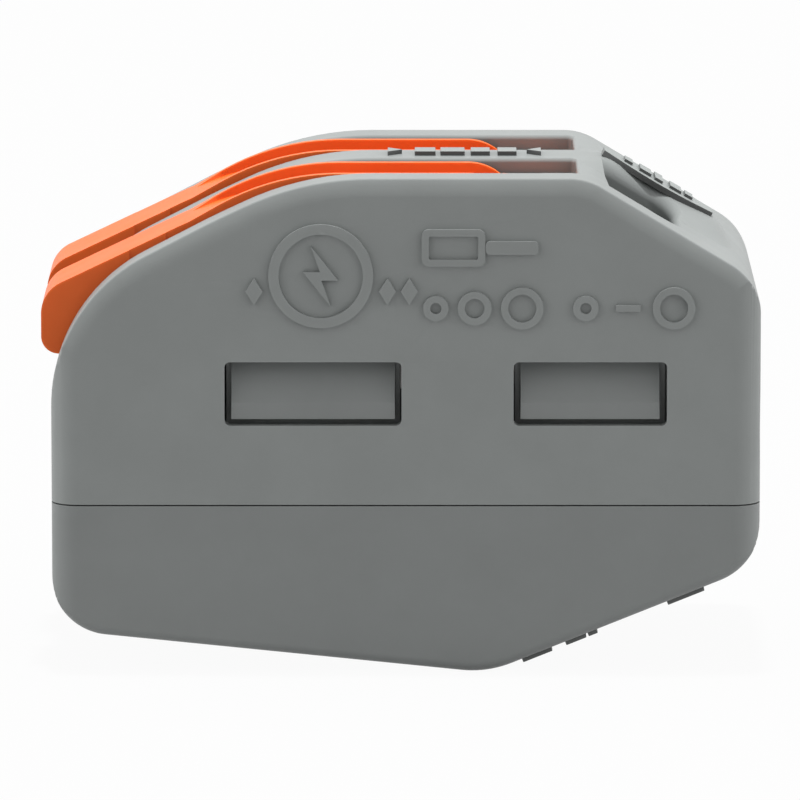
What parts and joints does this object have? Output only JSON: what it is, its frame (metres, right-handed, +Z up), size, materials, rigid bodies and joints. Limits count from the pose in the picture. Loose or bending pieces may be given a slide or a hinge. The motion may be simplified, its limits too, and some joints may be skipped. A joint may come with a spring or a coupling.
{
  "type": "lever wire connector",
  "caption": "Lever-operated splicing connector: flip levers press cage-clamp springs that hold stripped wires against a common busbar inside a latched plastic housing.",
  "frame": {"origin": "middle of the overall length and width, on the lowest point of the base", "axes": "+X towards the wire-entry face, Y across the two poles with the near pole at -Y, +Z up"},
  "size_m": [0.0206, 0.0108, 0.0144],
  "materials": {
    "housing_grey": "fine satin moulded polyamide",
    "lever_orange": "smooth moulded polyamide",
    "tinned_copper": "tin-plated copper",
    "spring_steel": "rolled stainless strip"
  },
  "bodies": {
    "housing": {"upper_housing": "housing_grey", "base_cover": "housing_grey", "busbar": "tinned_copper", "near_spring_leg": "spring_steel", "far_spring_leg": "spring_steel"},
    "near_lever": {"near_lever": "lever_orange"},
    "far_lever": {"far_lever": "lever_orange"},
    "near_clamp": {"near_spring_cage": "spring_steel"},
    "far_clamp": {"far_spring_cage": "spring_steel"}
  },
  "joints": [
    {"name": "near_lever_hinge", "type": "hinge", "parent": "housing", "child": "near_lever", "pos_m": [0.00195, -0.0024, 0.0127], "axis": [0, 1, 0], "range_deg": [0, 85]},
    {"name": "far_lever_hinge", "type": "hinge", "parent": "housing", "child": "far_lever", "pos_m": [0.00195, 0.0024, 0.0127], "axis": [0, 1, 0], "range_deg": [0, 85]},
    {"name": "near_clamp_flex", "type": "hinge", "parent": "housing", "child": "near_clamp", "pos_m": [-0.0053, -0.0024, 0.0083], "axis": [0, 1, 0], "range_deg": [0, 13.1]},
    {"name": "far_clamp_flex", "type": "hinge", "parent": "housing", "child": "far_clamp", "pos_m": [-0.0053, 0.0024, 0.0083], "axis": [0, 1, 0], "range_deg": [0, 13.1]}
  ],
  "couplings": [
    {"joint": "near_clamp_flex", "follows": "near_lever_hinge", "ratio": 0.153},
    {"joint": "far_clamp_flex", "follows": "far_lever_hinge", "ratio": 0.153}
  ]
}
